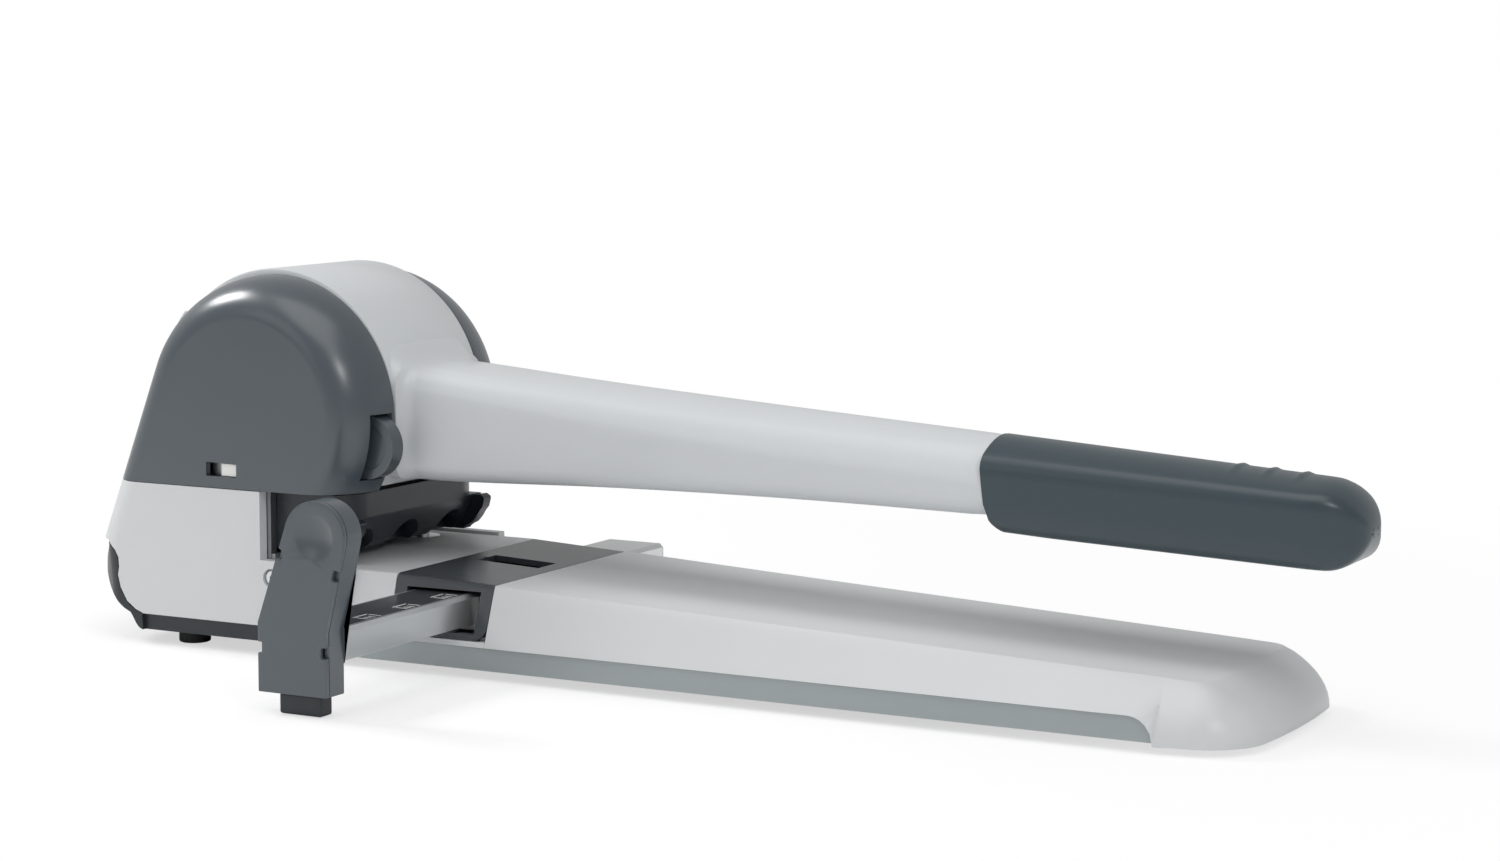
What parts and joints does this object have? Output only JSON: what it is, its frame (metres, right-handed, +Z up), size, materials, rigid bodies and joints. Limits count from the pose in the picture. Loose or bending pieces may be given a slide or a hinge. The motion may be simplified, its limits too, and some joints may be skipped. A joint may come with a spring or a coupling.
{
  "type": "heavy duty hole punch",
  "caption": "Desk paper punch with a long lever on a round head, a long flat base arm, a hold-down bar and a sliding gauge bar with a side stop.",
  "frame": {"origin": "on the desk, midway between the two punches", "axes": "+Z up; -Y towards the tip of the arm and the lever's grip; +X to the right seen from the grip, so the side stop is on the -X side"},
  "size_m": [0.269, 0.5778, 0.166],
  "materials": {
    "pale_metal": "satin",
    "gloss_lever": "gloss",
    "channel_metal": "satin",
    "dark_plastic": "satin",
    "slate_plastic": "satin",
    "grip_plastic": "satin",
    "insert_plastic": "satin",
    "bar_aluminium": "brushed",
    "scale_print": "satin",
    "steel": "satin",
    "dark_steel": "satin",
    "bright_steel": "polished",
    "dark_paint": "satin",
    "bronze": "satin",
    "white_plastic": "satin",
    "foot_rubber": "matt"
  },
  "bodies": {
    "frame": {"base_channel": "channel_metal", "base_pan": "dark_plastic", "base_plate": "steel", "base_screws": "bright_steel", "rear_feet": "foot_rubber", "middle_foot": "foot_rubber", "front_foot": "foot_rubber", "arm_shell": "pale_metal", "shell_screws": "bright_steel", "guide_insert": "insert_plastic", "bar_guide": "white_plastic", "bar_spring": "bright_steel", "side_plate_left": "steel", "side_plate_right": "steel", "tie_rods": "steel", "tie_screws": "dark_steel", "die_block": "steel", "die_rings": "bright_steel", "die_screws": "dark_steel", "back_stop": "steel", "rack_guides": "white_plastic", "shaft_bushes": "bronze", "cap_left": "slate_plastic", "cap_right": "slate_plastic", "cap_clips": "white_plastic", "lock_guide_pin": "steel", "side_panel_left": "pale_metal", "side_panel_right": "pale_metal", "panel_screws": "bright_steel", "rear_cover": "pale_metal"},
    "lever_arm": {"cross_shaft": "steel", "shaft_clips": "dark_steel", "sector_gear_left": "dark_steel", "sector_gear_right": "dark_steel", "drive_pins": "dark_steel", "lever": "gloss_lever", "grip": "grip_plastic"},
    "hold_down": {"hold_down_bar": "dark_paint", "guide_bushes": "bronze", "clamp_springs": "steel", "lift_bolts": "dark_steel"},
    "press": {"punch_carrier": "steel", "rack_left": "dark_steel", "rack_right": "dark_steel", "punch_pin_left": "bright_steel", "punch_pin_right": "bright_steel", "pin_screws": "dark_steel", "rack_screws": "dark_steel"},
    "gauge": {"gauge_bar": "bar_aluminium", "bar_scale": "scale_print", "bar_end_plug": "scale_print", "side_stop": "slate_plastic", "stop_cover": "slate_plastic", "stop_foot": "dark_plastic"},
    "lock": {"lock_knob": "slate_plastic", "lock_slide": "steel"},
    "tray": {"chip_tray": "dark_plastic"}
  },
  "joints": [
    {"name": "lever_hinge", "type": "hinge", "parent": "frame", "child": "lever_arm", "pos_m": [0, 0.026, 0.104], "axis": [-1, 0, 0], "range_deg": [0, 62]},
    {"name": "hold_down_slide", "type": "slide", "parent": "frame", "child": "hold_down", "axis": [0, 0, 1], "range_m": [0, 0.0111]},
    {"name": "press_slide", "type": "slide", "parent": "hold_down", "child": "press", "axis": [0, 0, 1], "range_m": [0, 0.0172], "deforming": ["clamp_springs"]},
    {"name": "gauge_slide", "type": "slide", "parent": "frame", "child": "gauge", "axis": [1, 0, 0], "range_m": [-0.022, 0.08]},
    {"name": "lock_slide", "type": "slide", "parent": "frame", "child": "lock", "axis": [1, 0, 0], "range_m": [-0.0035, 0]},
    {"name": "chip_slide", "type": "slide", "parent": "frame", "child": "tray", "axis": [0, 1, 0], "range_m": [0, 0.09]}
  ],
  "couplings": [
    {"joint": "hold_down_slide", "follows": "lever_hinge", "m_per_rad": 0.010166},
    {"joint": "press_slide", "follows": "lever_hinge", "m_per_rad": 0.015834}
  ]
}
